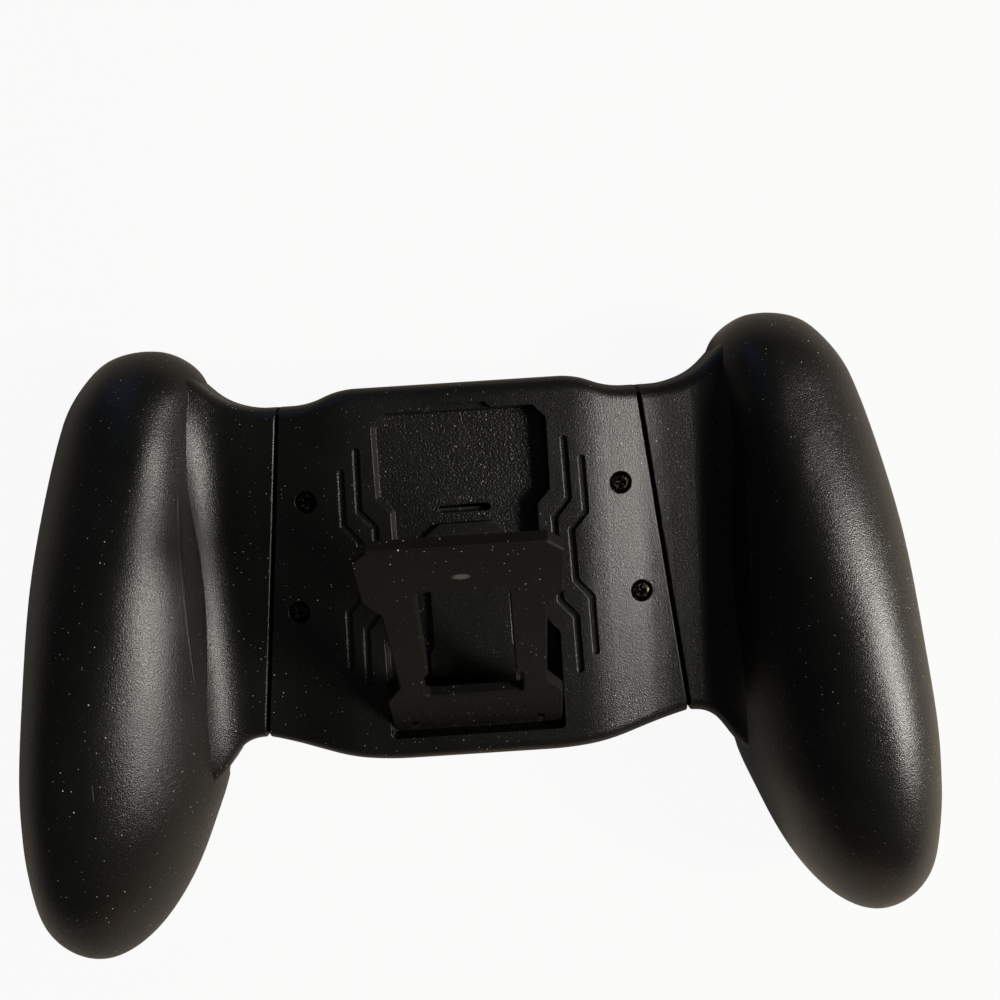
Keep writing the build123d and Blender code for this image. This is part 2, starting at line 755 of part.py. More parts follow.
# Rear shell of the palm grip, with its wing
with BuildPart() as rear_shell:
    add(wing_outline(parting_height))
    extrude(amount=grip_rise)
    add(wing_back.part, mode=Mode.INTERSECT)
    wing_rims = [e for e in rear_shell.edges() if e.center().Z > seam_back - rim_radius / 3]
    fillet([e for e in wing_rims if e.center().Y > shoulder_y - seam_bevel], rim_radius)
    wing_rims = [e for e in rear_shell.edges() if e.center().Z > seam_back - rim_radius / 3]
    wing_rims = [e for e in wing_rims if e.center().X < wing_flare_x]
    fillet([e for e in wing_rims if e.center().Y < sill_seam_y], rim_radius)
    seam_top = [e for e in rear_shell.edges() if e.center().Z > seam_back - rim_radius / 6]
    seam_top = [e for e in seam_top if e.center().X < seam_x(e.center().Y) + seam_gap]
    chamfer([e for e in seam_top if e.length > rim_radius], seam_bevel)
    add(grip_back)
    add(rear_space.part, mode=Mode.SUBTRACT)
    for screw_x, screw_y in grip_screw_places:
        with Locations(Pos(screw_x, screw_y, parting_height) * Rot(X=180)):
            Hole(pilot_radius, grip_screw_length - grip_seat_thickness + fit_clearance)
    for screw_x, screw_y in wing_screw_places:
        with Locations(Pos(screw_x, screw_y, parting_height) * Rot(X=180)):
            Hole(pilot_radius, wing_screw_length + wing_pocket_depth + fit_clearance - bed_below_parting)
export_pair(rear_shell.part, "rear_shell")

# Space inside the right front shell, around its screw bosses and behind its jaw
with BuildPart() as front_space:
    add(hollow_front)
    with BuildSketch(Plane.XY):
        with Locations(*grip_screw_places):
            Circle(grip_boss_diameter / 2)
    extrude(amount=parting_height, mode=Mode.SUBTRACT)
    with BuildSketch(Plane.XY.offset(-overrun)):
        Rectangle(overall_width + overall_length, overall_width + overall_length)
    extrude(amount=overrun + shell_wall, mode=Mode.SUBTRACT)
    with BuildSketch(Plane.XY):
        with Locations((jaw_x + shell_wall, jaw_bottom_y - shell_wall)):
            Rectangle(overall_width, overall_length, align=(Align.MAX, Align.MIN))
    extrude(amount=parting_height, mode=Mode.SUBTRACT)

# Front shell of the palm grip, with the jaw that holds the phone's side
with BuildPart() as front_shell:
    add(wing_outline(bed_level))
    extrude(amount=parting_height - bed_level)
    add(grip_front)
    with BuildSketch(Plane.XY.offset(-overrun)):
        Rectangle(overall_width + overall_length, overall_width + overall_length)
    extrude(amount=overrun, mode=Mode.SUBTRACT)
    with BuildSketch(Plane.XZ.offset(-half_length - overrun)):
        with Locations((jaw_x, lip_thickness)):
            Rectangle(overall_width, bed_level - lip_thickness, align=(Align.MAX, Align.MIN))
        with Locations((jaw_x - lip_reach, -overrun)):
            Rectangle(overall_width, overrun + lip_thickness, align=(Align.MAX, Align.MIN))
    extrude(amount=half_length + overrun - jaw_bottom_y, mode=Mode.SUBTRACT)
    add(front_space.part, mode=Mode.SUBTRACT)
    for screw_x, screw_y in grip_screw_places:
        with Locations(Pos(screw_x, screw_y, 0) * Rot(X=180)):
            CounterBoreHole(
                free_hole_radius,
                screw_pocket_diameter / 2,
                parting_height - grip_seat_thickness,
                parting_height,
            )
    for screw_x, screw_y in wing_screw_places:
        with Locations(Pos(screw_x, screw_y, bed_level) * Rot(X=180)):
            CounterBoreHole(
                free_hole_radius,
                screw_pocket_diameter / 2,
                wing_pocket_depth,
                parting_height - bed_level,
            )
export_pair(front_shell.part, "front_shell")

# Slide frame of the palm grip, three arms on a root plate
with BuildPart() as slide_frame:
    with BuildSketch(Plane.XY.offset(slide_low)):
        root_top = lane_top_y - slide_clearance
        root_bottom = lane_bottom_y + slide_clearance
        root_inset = seam_gap / 2 + shell_wall + slide_clearance
        with BuildLine():
            Polyline(
                (seam_x(root_top) + root_inset, root_top),
                (wing_end_x - slide_clearance, root_top),
                (wing_end_x - slide_clearance, root_bottom),
                (seam_x(root_bottom) + root_inset, root_bottom),
                close=True,
            )
        make_face()
        for lane_y, lane_width in arm_lanes:
            with Locations((arm_end_x, lane_y)):
                Rectangle(wing_flat_x - arm_end_x, lane_width, align=(Align.MIN, Align.CENTER))
        for lane_y in spring_lanes.values():
            slot_start = post_x - slide_travel - spring_slot_width / 2
            with Locations(((slot_start + spring_slot_end_x) / 2, lane_y)):
                SlotOverall(spring_slot_end_x - slot_start, spring_slot_width, mode=Mode.SUBTRACT)
            with Locations((spring_anchor_x, lane_y)):
                Rectangle(
                    spring_slot_end_x - spring_anchor_x, anchor_nose_width, align=(Align.MIN, Align.CENTER)
                )
        with Locations(*wing_screw_places):
            Circle(boss_diameter / 2 + fit_clearance, mode=Mode.SUBTRACT)
    extrude(amount=slide_thickness)
export_pair(slide_frame.part, "slide_frame")

# Ribbed clamp pad on the jaw
with BuildPart() as clamp_pad:
    pad_middle = (clamp_pad_y, (clamp_pad_low + clamp_pad_high) / 2)
    with BuildSketch(Plane.YZ.offset(jaw_x - clamp_pad_thickness)):
        with Locations(pad_middle):
            RectangleRounded(2 * clamp_pad_half, clamp_pad_high - clamp_pad_low, clamp_pad_corner)
    extrude(amount=clamp_pad_thickness)
    with BuildSketch(Plane.YZ.offset(jaw_x - clamp_pad_thickness)):
        with Locations(pad_middle):
            with GridLocations(clamp_groove_pitch, 0, clamp_groove_count, 1):
                Rectangle(clamp_groove_width, clamp_pad_high)
    extrude(amount=clamp_groove_depth, mode=Mode.SUBTRACT)
export_pair(clamp_pad.part, "clamp_pad")

# Tension springs that pull the palm grips in, each drawn as its outer form
for lane, lane_y in spring_lanes.items():
    spring_start = post_x + stop_post_diameter / 2 + running_clearance
    with BuildPart() as spring:
        with BuildSketch(Plane.YZ.offset(spring_start)):
            with Locations((lane_y, slide_low + slide_thickness / 2)):
                Circle(spring_diameter / 2)
        extrude(amount=spring_anchor_x - running_clearance - spring_start)
    export_pair(spring.part, f"{lane}_spring")


def pan_screw(length):
    """One cross-head screw with its head's seat at the origin and its shank pointing down."""
    with BuildPart() as screw:
        with BuildSketch():
            Circle(screw_head_diameter / 2)
        extrude(amount=screw_head_height)
        fillet(screw.edges().filter_by(GeomType.CIRCLE).sort_by(Axis.Z)[-1], screw_head_round)
        with BuildSketch(Plane.XY.offset(screw_head_height)):
            Rectangle(cross_length, cross_width)
            Rectangle(cross_width, cross_length)
        extrude(amount=-cross_depth, mode=Mode.SUBTRACT)
        with BuildSketch():
            Circle(screw_diameter / 2)
        extrude(amount=-length)
    return screw.part


# Screws that hold the rear cover on the tray
for number, (screw_x, screw_y) in enumerate(cover_screw_places, start=1):
    seat_level = back_level(abs(screw_x)) - screw_pocket_depth
    cover_screw = Pos(screw_x, screw_y, seat_level) * pan_screw(cover_screw_length)
    cover_screw.label = f"cover_screw_{number}"
    export_step(cover_screw, f"parts/cover_screw_{number}.step")

# Screws that close the palm grips from the front
for number, (screw_x, screw_y) in enumerate(grip_screw_places, start=1):
    seat_level = parting_height - grip_seat_thickness
    grip_screw = Pos(screw_x, screw_y, seat_level) * Rot(X=180) * pan_screw(grip_screw_length)
    export_pair(grip_screw, f"grip_screw_{number}")
for number, (screw_x, screw_y) in enumerate(wing_screw_places, start=1):
    seat_level = bed_level + wing_pocket_depth
    wing_screw = Pos(screw_x, screw_y, seat_level) * Rot(X=180) * pan_screw(wing_screw_length)
    export_pair(wing_screw, f"wing_screw_{number}")
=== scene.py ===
"""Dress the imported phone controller, light it softly and set the camera as in the photograph.

The object lies on its front with its back up: X runs from grip to grip, Y towards the
shoulders, Z from the table up. Sizes here are in millimetres until they reach Blender.
"""

from __future__ import annotations

import logging
import math
from dataclasses import dataclass, field
from enum import Enum

import bpy
from mathutils import Euler, Matrix, Vector


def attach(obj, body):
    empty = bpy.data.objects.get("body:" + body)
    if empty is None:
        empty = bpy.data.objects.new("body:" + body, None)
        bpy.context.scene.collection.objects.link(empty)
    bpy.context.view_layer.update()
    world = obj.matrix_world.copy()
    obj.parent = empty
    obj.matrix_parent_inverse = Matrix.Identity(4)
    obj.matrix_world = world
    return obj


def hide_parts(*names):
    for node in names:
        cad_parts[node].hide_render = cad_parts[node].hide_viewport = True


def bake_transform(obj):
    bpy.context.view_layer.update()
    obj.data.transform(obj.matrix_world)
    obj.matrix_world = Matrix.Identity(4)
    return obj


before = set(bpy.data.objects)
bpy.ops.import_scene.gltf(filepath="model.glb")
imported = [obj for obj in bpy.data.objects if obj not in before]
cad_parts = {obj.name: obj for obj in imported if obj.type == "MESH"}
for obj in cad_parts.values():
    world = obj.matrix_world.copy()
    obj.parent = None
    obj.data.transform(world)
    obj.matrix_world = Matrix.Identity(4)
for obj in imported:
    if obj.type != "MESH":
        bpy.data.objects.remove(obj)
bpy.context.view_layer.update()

log = logging.getLogger("controller")
MM = 0.001

Tree = bpy.types.NodeTree
Socket = bpy.types.NodeSocket
Triple = tuple[float, float, float]
Span = tuple[float, float]


class Side(Enum):
    """The two hand grips, with the direction in X that each slides out."""

    RIGHT = 1
    LEFT = -1

    @property
    def word(self) -> str:
        """The side's name as it starts the names of its pieces."""
        return self.name.lower()


class Grain(Enum):
    """How coarse the mould's texture is, as the width of one grain in millimetres."""

    FINE = 0.27
    COARSE = 0.45
    POLISHED = 1.6

    @property
    def depth(self) -> float:
        """How deep the grain is cut, against the depth of the fine one."""
        return 2.2 if self is Grain.COARSE else 1.0


def linear(hex_colour: str) -> tuple[float, float, float, float]:
    """Turn an sRGB hex colour into linear values.

    Args:
        hex_colour: A colour such as "#1a1a1c".

    Returns:
        Linear red, green and blue, and an alpha of one.
    """
    values = [int(hex_colour[start : start + 2], 16) / 255 for start in (1, 3, 5)]
    curve = [v / 12.92 if v <= 0.04045 else ((v + 0.055) / 1.055) ** 2.4 for v in values]
    return (*curve, 1.0)


def per_metre(size_mm: float) -> float:
    """Scale of a texture whose features are size_mm apart, on coordinates in metres."""
    return 1.0 / (size_mm * MM)


def empty_tree(owner: bpy.types.Material | bpy.types.World) -> Tree:
    """Give a material or world an empty node tree."""
    owner.use_nodes = True
    owner.node_tree.nodes.clear()
    return owner.node_tree


def new_material(name: str) -> tuple[bpy.types.Material, Tree, Socket]:
    """Start a material that is laid out on the object's own coordinates.

    Args:
        name: The material's name.

    Returns:
        The material, its node tree and the coordinates.
    """
    material = bpy.data.materials.new(name)
    tree = empty_tree(material)
    return material, tree, add_node(tree, "ShaderNodeTexCoord").outputs["Object"]


def add_node(
    tree: Tree,
    kind: str,
    settings: dict[str, object] | None = None,
    values: dict[str | int, object] | None = None,
    links: dict[str | int, Socket] | None = None,
) -> bpy.types.Node:
    """Add one node with its settings, socket values and links.

    Args:
        tree: The node tree that gets the node.
        kind: The node's type, such as "ShaderNodeBump".
        settings: Properties of the node itself.
        values: Input sockets and the constants that they hold.
        links: Input sockets and the output sockets that feed them.

    Returns:
        The new node.
    """
    node = tree.nodes.new(kind)
    for name, value in (settings or {}).items():
        setattr(node, name, value)
    for socket, value in (values or {}).items():
        node.inputs[socket].default_value = value
    for socket, source in (links or {}).items():
        tree.links.new(source, node.inputs[socket])
    return node


def calculate(
    tree: Tree,
    operation: str,
    first: Socket,
    second: Socket | float | None = None,
    clamp: bool = False,
) -> Socket:
    """Do one sum on values of the shader.

    Args:
        tree: The node tree.
        operation: The sum's name, such as "MULTIPLY".
        first: The first value.
        second: The second value, if the sum takes two: an output socket or a constant.
        clamp: Whether the result is kept between 0 and 1.

    Returns:
        The result.
    """
    linked = isinstance(second, Socket)
    return add_node(
        tree,
        "ShaderNodeMath",
        {"operation": operation, "use_clamp": clamp},
        {} if linked or second is None else {1: second},
        {0: first, 1: second} if linked else {0: first},
    ).outputs[0]


def remap(tree: Tree, value: Socket, source: Span, target: Span, smooth: bool = False) -> Socket:
    """Carry a value from one range over to another, held at its ends.

    Args:
        tree: The node tree.
        value: The value.
        source: The range that it comes from.
        target: The range that it goes to.
        smooth: Whether it eases in and out.

    Returns:
        The value in the target range.
    """
    ends = ("From Min", "From Max", "To Min", "To Max")
    return add_node(
        tree,
        "ShaderNodeMapRange",
        {"interpolation_type": "SMOOTHSTEP" if smooth else "LINEAR"},
        dict(zip(ends, (*source, *target))),
        {"Value": value},
    ).outputs["Result"]


def noise(tree: Tree, place: Socket, size_mm: float, detail: float, rough: float = 0.5) -> Socket:
    """Lay cloudy noise over the object.

    Args:
        tree: The node tree.
        place: Object coordinates.
        size_mm: How far its clouds are apart.
        detail: How many finer layers it has.
        rough: How strong the finer layers are.

    Returns:
        The noise, around one half.
    """
    return add_node(
        tree,
        "ShaderNodeTexNoise",
        values={"Scale": per_metre(size_mm), "Detail": detail, "Roughness": rough},
        links={"Vector": place},
    ).outputs["Fac"]


def scatter(tree: Tree, place: Socket, size_mm: float) -> tuple[Socket, dict[str, Socket]]:
    """Scatter cells over the object.

    Args:
        tree: The node tree.
        place: Object coordinates.
        size_mm: How wide a cell is.

    Returns:
        The distance from a cell's middle, and the cell's chance values by colour name.
    """
    cells = add_node(
        tree,
        "ShaderNodeTexVoronoi",
        values={"Scale": per_metre(size_mm), "Randomness": 1.0},
        links={"Vector": place},
    ).outputs
    chance = add_node(tree, "ShaderNodeSeparateColor", links={"Color": cells["Color"]}).outputs
    return cells["Distance"], {name: chance[name] for name in ("Red", "Green", "Blue")}


def ramp(tree: Tree, source: Socket, stops: list[tuple[float, str]]) -> Socket:
    """Run a value through a colour ramp.

    Args:
        tree: The node tree.
        source: The value that picks the colour.
        stops: Places along the ramp from 0 to 1 and the hex colour at each.

    Returns:
        The ramp's colour output.
    """
    node = add_node(tree, "ShaderNodeValToRGB", links={"Fac": source})
    for element, (place, colour) in zip(node.color_ramp.elements, stops, strict=True):
        element.position = place
        element.color = linear(colour)
    return node.outputs["Color"]


def soft_edges(tree: Tree, radius_mm: float, samples: int = 6) -> Socket:
    """Round the look of sharp edges by the radius that a mould leaves.

    Args:
        tree: The node tree.
        radius_mm: The edge radius in millimetres.
        samples: How many rays feel for the edge.

    Returns:
        A normal for the bump node to start from.
    """
    settings = {"samples": samples}
    return add_node(tree, "ShaderNodeBevel", settings, {"Radius": radius_mm * MM}).outputs["Normal"]


def bump(
    tree: Tree, height: Socket, depth_mm: float, strength: float = 1.0, base: Socket | None = None
) -> Socket:
    """Raise a fine texture on a face.

    Args:
        tree: The node tree.
        height: The texture's height as a share of its depth.
        depth_mm: The texture's depth in millimetres.
        strength: How much of it shows.
        base: The normal that it starts from, or None for the face's own.

    Returns:
        The normal of the textured face.
    """
    return add_node(
        tree,
        "ShaderNodeBump",
        values={"Strength": strength, "Distance": depth_mm * MM},
        links={"Height": height} | ({} if base is None else {"Normal": base}),
    ).outputs["Normal"]


def between(tree: Tree, value: Socket, low_mm: float, high_mm: float, soft_mm: float) -> Socket:
    """Mask that is one where a coordinate lies between two places and fades out beyond them.

    Args:
        tree: The node tree.
        value: The coordinate in metres.
        low_mm: The lower place in millimetres.
        high_mm: The upper place in millimetres.
        soft_mm: The width over which the mask fades.

    Returns:
        The mask's value.
    """
    middle, half = (low_mm + high_mm) / 2, (high_mm - low_mm) / 2
    away = calculate(tree, "ABSOLUTE", calculate(tree, "SUBTRACT", value, middle * MM))
    return remap(tree, away, (half * MM, (half + soft_mm) * MM), (1.0, 0.0), smooth=True)


def surface(tree: Tree, values: dict[str, float], links: dict[str, Socket]) -> None:
    """Add a material's one shader and its output.

    Args:
        tree: The node tree.
        values: The shader's sockets and the constants that they hold.
        links: The shader's sockets and the output sockets that feed them.
    """
    shader = add_node(tree, "ShaderNodeBsdfPrincipled", values=values, links=links)
    add_node(tree, "ShaderNodeOutputMaterial", links={"Surface": shader.outputs["BSDF"]})


@dataclass(frozen=True)
class Blend:
    """A soft transition, where the mould runs one form into the next with a wide fillet."""

    radius_mm: float
    across_mm: Span
    above_mm: float
    along_mm: Span
    height_mm: float = 40.0
    fade_mm: float = 0.8
    along_fade_mm: float = 12.0

    def normal(self, tree: Tree, place: Socket, crisp: Socket) -> Socket:
        """Normal that is widely rounded inside the transition and crisp elsewhere.

        Args:
            tree: The node tree.
            place: Object coordinates.
            crisp: The normal outside the transition.

        Returns:
            The mixed normal.
        """
        split = add_node(tree, "ShaderNodeSeparateXYZ", links={0: place}).outputs
        outward = calculate(tree, "ABSOLUTE", split["X"])
        top_mm = self.above_mm + self.height_mm
        band = between(tree, outward, *self.across_mm, self.fade_mm)
        high = between(tree, split["Z"], self.above_mm, top_mm, self.fade_mm)
        upper = between(tree, split["Y"], *self.along_mm, self.along_fade_mm)
        mask = calculate(tree, "MULTIPLY", band, calculate(tree, "MULTIPLY", high, upper))
        wide = soft_edges(tree, self.radius_mm, samples=8)
        mixed = add_node(
            tree, "ShaderNodeMix", {"data_type": "VECTOR"}, links={0: mask, 4: crisp, 5: wide}
        ).outputs[1]
        return add_node(
            tree, "ShaderNodeVectorMath", {"operation": "NORMALIZE"}, links={0: mixed}
        ).outputs[0]


@dataclass(frozen=True)
class GrainZone:
    """The floor of a recess, which the tool gives a grain of its own."""

    grain: Grain
    half_width_mm: float
    height_mm: Span
    side_fade_mm: float = 0.3
    height_fade_mm: float = 0.5

    def mask(self, tree: Tree, place: Socket) -> Socket:
        """Mask that is one on the recess's floor.

        Args:
            tree: The node tree.
            place: Object coordinates.

        Returns:
            The mask's value.
        """
        split = add_node(tree, "ShaderNodeSeparateXYZ", links={0: place}).outputs
        half_width = self.half_width_mm
        inside = between(tree, split["X"], -half_width, half_width, self.side_fade_mm)
        low = between(tree, split["Z"], *self.height_mm, self.height_fade_mm)
        return calculate(tree, "MULTIPLY", inside, low)


@dataclass(frozen=True)
class WornSpot:
    """A pale spot that a fingertip has worn on a face, longer than it is high."""

    centre_mm: Triple
    radii_mm: Span = (0.45, 1.0)
    squeeze: Triple = (0.55, 1.0, 1.0)
    strength: float = 0.13

    def added_to(self, tree: Tree, place: Socket, marks: Socket) -> Socket:
        """Add the spot to a face's marks.

        Args:
            tree: The node tree.
            place: Object coordinates.
            marks: The marks so far.

        Returns:
            The marks with the spot.
        """
        point = place
        for operation, amount in (
            ("SUBTRACT", Vector(self.centre_mm) * MM),
            ("MULTIPLY", self.squeeze),
        ):
            settings = {"operation": operation}
            point = add_node(
                tree, "ShaderNodeVectorMath", settings, {1: amount}, {0: point}
            ).outputs[0]
        away = add_node(
            tree, "ShaderNodeVectorMath", {"operation": "LENGTH"}, links={0: point}
        ).outputs["Value"]
        inner, outer = (radius * MM for radius in self.radii_mm)
        spot = remap(tree, away, (inner, outer), (self.strength, 0.0), smooth=True)
        return calculate(tree, "MAXIMUM", marks, spot)


@dataclass(frozen=True)
class MouldedPlastic:
    """Injection-moulded ABS from a spark-eroded tool: satin, finely pebbled, a little dusty.

    The tool's grain is some hundredths of a millimetre, too fine to show, so it is drawn
    about ten times as coarse.
    """

    name: str
    dark: str = "#0a0a08"
    light: str = "#11110e"
    handling_mm: float = 26.0
    roughness: float = 0.32
    roughness_swing: float = 0.035
    specular: float = 0.42
    ior: float = 1.53
    grain: Grain = Grain.FINE
    grain_height_mm: float = 0.085
    recess: GrainZone | None = None
    dust: str = "#d2cdc2"
    dust_spacing_mm: float = 0.8
    dust_reach_share: float = 0.16
    dust_from: float = 0.35
    dust_patch_mm: float = 17.0
    worn_spot: WornSpot | None = None
    scuff_spacing_mm: float = 2.2
    scuff_stretch: Triple = (1.0, 0.07, 1.0)
    scuff_turn: Triple = (0.4, 0.2, 1.0)
    scuff_width_share: float = 0.06
    scuff_from: float = 0.955
    scuff_strength: float = 0.06
    edge_mm: float = 0.25
    blend: Blend | None = None

    def make(self) -> bpy.types.Material:
        """Make the material with its grain, handling marks, dust specks and hairline scuffs."""
        material, tree, place = new_material(self.name)
        # Hands and storage polish broad patches, which shine a little more than the rest
        handling = noise(tree, place, self.handling_mm, 4.0, 0.55)
        body = ramp(tree, handling, [(0.3, self.dark), (0.75, self.light)])
        dust, scuffs = self.dust_mask(tree, place), self.scuff_mask(tree, place)
        marks = calculate(tree, "ADD", dust, scuffs, clamp=True)
        if self.worn_spot:
            marks = self.worn_spot.added_to(tree, place, marks)
        colour = add_node(
            tree,
            "ShaderNodeMix",
            {"data_type": "RGBA"},
            {7: linear(self.dust)},
            {0: marks, 6: body},
        ).outputs[2]
        swing = self.roughness_swing
        gloss = remap(tree, handling, (0.3, 0.7), (self.roughness - swing, self.roughness + swing))
        surface(
            tree,
            {"IOR": self.ior, "Specular IOR Level": self.specular},
            {"Base Color": colour, "Roughness": gloss, "Normal": self.pebbled(tree, place)},
        )
        return material

    def dust_mask(self, tree: Tree, place: Socket) -> Socket:
        """Dust: one speck in some of the cells, its size and strength set by chance.

        Args:
            tree: The node tree.
            place: Object coordinates.

        Returns:
            How much dust lies at a place.
        """
        distance, chance = scatter(tree, place, self.dust_spacing_mm)
        reach = calculate(tree, "MULTIPLY", chance["Red"], self.dust_reach_share)
        speck = calculate(tree, "LESS_THAN", distance, reach)
        chosen = calculate(tree, "GREATER_THAN", chance["Green"], self.dust_from)
        dust = calculate(tree, "MULTIPLY", speck, chosen)
        faint = calculate(tree, "MULTIPLY", dust, chance["Blue"])
        # Dust gathers in patches
        patches = noise(tree, place, self.dust_patch_mm, 2.0)
        dusty = remap(tree, patches, (0.42, 0.62), (0.2, 1.0))
        return calculate(tree, "MULTIPLY", faint, dusty)

    def scuff_mask(self, tree: Tree, place: Socket) -> Socket:
        """Hairline scuffs: long thin cells, of which only a few are marked, and faintly.

        Args:
            tree: The node tree.
            place: Object coordinates.

        Returns:
            How strongly a place is scuffed.
        """
        stretched = add_node(
            tree,
            "ShaderNodeMapping",
            values={"Rotation": self.scuff_turn, "Scale": self.scuff_stretch},
            links={"Vector": place},
        ).outputs["Vector"]
        distance, chance = scatter(tree, stretched, self.scuff_spacing_mm)
        here = calculate(tree, "LESS_THAN", distance, self.scuff_width_share)
        chosen = calculate(tree, "GREATER_THAN", chance["Blue"], self.scuff_from)
        marked = calculate(tree, "MULTIPLY", here, chosen)
        return calculate(tree, "MULTIPLY", marked, self.scuff_strength)

    def pebbled(self, tree: Tree, place: Socket) -> Socket:
        """Normal of the pebbled face with its softened edges and blends.

        Args:
            tree: The node tree.
            place: Object coordinates.

        Returns:
            The normal.
        """
        base = soft_edges(tree, self.edge_mm)
        if self.blend:
            base = self.blend.normal(tree, place, base)
        pebble = self.grain_height(tree, place, self.grain)
        if self.recess:
            floor = self.recess.mask(tree, place)
            coarser = self.grain_height(tree, place, self.recess.grain)
            links = {0: floor, 2: pebble, 3: coarser}
            pebble = add_node(
                tree, "ShaderNodeMix", {"data_type": "FLOAT"}, links=links
            ).outputs[0]
        return bump(tree, pebble, self.grain_height_mm, base=base)

    def grain_height(self, tree: Tree, place: Socket, grain: Grain) -> Socket:
        """Height of the tool's grain, deeper where it is coarser.

        Args:
            tree: The node tree.
            place: Object coordinates.
            grain: How coarse it is.

        Returns:
            The height as a share of the grain's depth.
        """
        pebbles = noise(tree, place, grain.value, 2.0, 0.6)
        return calculate(tree, "MULTIPLY", pebbles, grain.depth)


@dataclass(frozen=True)
class MouldedRubber:
    """Moulded silicone rubber: dead matt, with a soft bloom and a fine grain."""

    name: str
    dark: str = "#101011"
    light: str = "#1b1b1c"
    roughness: float = 0.78
    ior: float = 1.41
    bloom_mm: float = 9.0
    grain_mm: float = 0.22
    grain_height_mm: float = 0.015

    def make(self) -> bpy.types.Material:
        """Make the material with a mottled bloom and a fine matt grain."""
        material, tree, place = new_material(self.name)
        bloom = noise(tree, place, self.bloom_mm, 5.0, 0.65)
        colour = ramp(tree, bloom, [(0.35, self.dark), (0.7, self.light)])
        grain = noise(tree, place, self.grain_mm, 2.0)
        surface(
            tree,
            {"IOR": self.ior, "Roughness": self.roughness},
            {"Base Color": colour, "Normal": bump(tree, grain, self.grain_height_mm, 0.6)},
        )
        return material


@dataclass(frozen=True)
class Steel:
    """Carbon steel, blackened or ground bright, with fine turning marks and worn high spots."""

    name: str
    dark: str = "#17150f"
    bright: str = "#8c8578"
    roughness: float = 0.38
    smoother: float = 0.12
    rougher: float = 0.15
    worn_from: float = 0.56
    worn_to: float = 0.7
    mark_mm: float = 0.35
    mark_height_mm: float = 0.01

    def make(self) -> bpy.types.Material:
        """Make the material, in which a fine noise decides where the bright metal shows."""
        material, tree, place = new_material(self.name)
        wear = noise(tree, place, self.mark_mm, 3.0, 0.6)
        colour = ramp(tree, wear, [(self.worn_from, self.dark), (self.worn_to, self.bright)])
        swing = (self.roughness - self.smoother, self.roughness + self.rougher)
        surface(
            tree,
            {"Metallic": 1.0},
            {
                "Base Color": colour,
                "Roughness": remap(tree, wear, (0.0, 1.0), swing),
                "Normal": bump(tree, wear, self.mark_height_mm, 0.5),
            },
        )
        return material


@dataclass(frozen=True)
class SeamShadeSheet:
    """Near-black matt sheet with a fine nap: painted shade, which stands in for the shade in the
    grips' seams.
    """

    name: str = "painted_seam_shade"
    # Painted shade: these near-black colours darken the seam where shade falls.
    dark: str = "#040404"
    light: str = "#0a0a0a"
    nap_mm: float = 0.35
    nap_height_mm: float = 0.1

    def make(self) -> bpy.types.Material:
        """Make the material with its nap."""
        material, tree, place = new_material(self.name)
        nap = noise(tree, place, self.nap_mm, 4.0, 0.7)
        colour = ramp(tree, nap, [(0.35, self.dark), (0.7, self.light)])
        surface(
            tree,
            {"Roughness": 1.0, "Specular IOR Level": 0.1},
            {"Base Color": colour, "Normal": bump(tree, nap, self.nap_height_mm)},
        )
        return material


def dress(names: list[str], material: bpy.types.Material) -> None:
    """Give CAD nodes a material.

    Args:
        names: The nodes' names.
        material: The finish that they share.
    """
    for name in names:
        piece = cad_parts[name]
        piece.data.materials.clear()
        piece.data.materials.append(material)
        log.info("dressed %s in %s", name, material.name)


@dataclass
class Housing:
    """The middle housing: rear cover, front tray, bed pad, screws and hinge pin."""

    shell: MouldedPlastic = MouldedPlastic(
        "spark_textured_abs_cover", recess=GrainZone(Grain.COARSE, 16.9, (20.0, 23.0))
    )
    tray: MouldedPlastic = MouldedPlastic("spark_textured_abs_tray", roughness=0.5)
    pad: MouldedRubber = MouldedRubber("moulded_rubber_bed")
    screws: Steel = Steel("blackened_steel_screw")
    # Blackened steel with its bright metal dimmed: partly its own finish, partly painted shade, so
    # the pin reads as the dark of the stand's slots.
    pin: Steel = Steel("blackened_steel_pin", dark="#1c1b19", bright="#5b5852", roughness=0.34)

    def build(self) -> None:
        """Dress the housing's nodes, and the screws of the grips with its own."""
        dress(["rear_cover"], self.shell.make())
        dress(["front_tray"], self.tray.make())
        dress(["bed_pad"], self.pad.make())
        dress(["stand_hinge_pin"], self.pin.make())
        screws = sorted(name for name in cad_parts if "_screw_" in name)
        dress(screws, self.screws.make())


@dataclass
class Kickstand:
    """The hinged plate on the back."""

    plate: MouldedPlastic = MouldedPlastic(
        "spark_textured_abs_stand",
        dark="#0a0908",
        light="#100e0c",
        roughness=0.6,
        specular=0.15,
        dust_from=0.3,
        worn_spot=WornSpot((0.18, 20.78, 63.75)),
    )

    def build(self) -> None:
        """Dress the kickstand."""
        dress(["kickstand"], self.plate.make())


@dataclass
class Grip:
    """One hand grip: its shells, slide frame and clamp pad."""

    side: Side
    shell: MouldedPlastic
    # Partly painted shade: darker than the shell, so the seam reads as shade.
    slider_with_seam_shade: MouldedPlastic
    pad: MouldedRubber

    def build(self) -> None:
        """Dress the grip's nodes."""
        word = self.side.word
        dress([f"{word}_rear_shell", f"{word}_front_shell"], self.shell.make())
        dress([f"{word}_slide_frame"], self.slider_with_seam_shade.make())
        dress([f"{word}_clamp_pad"], self.pad.make())


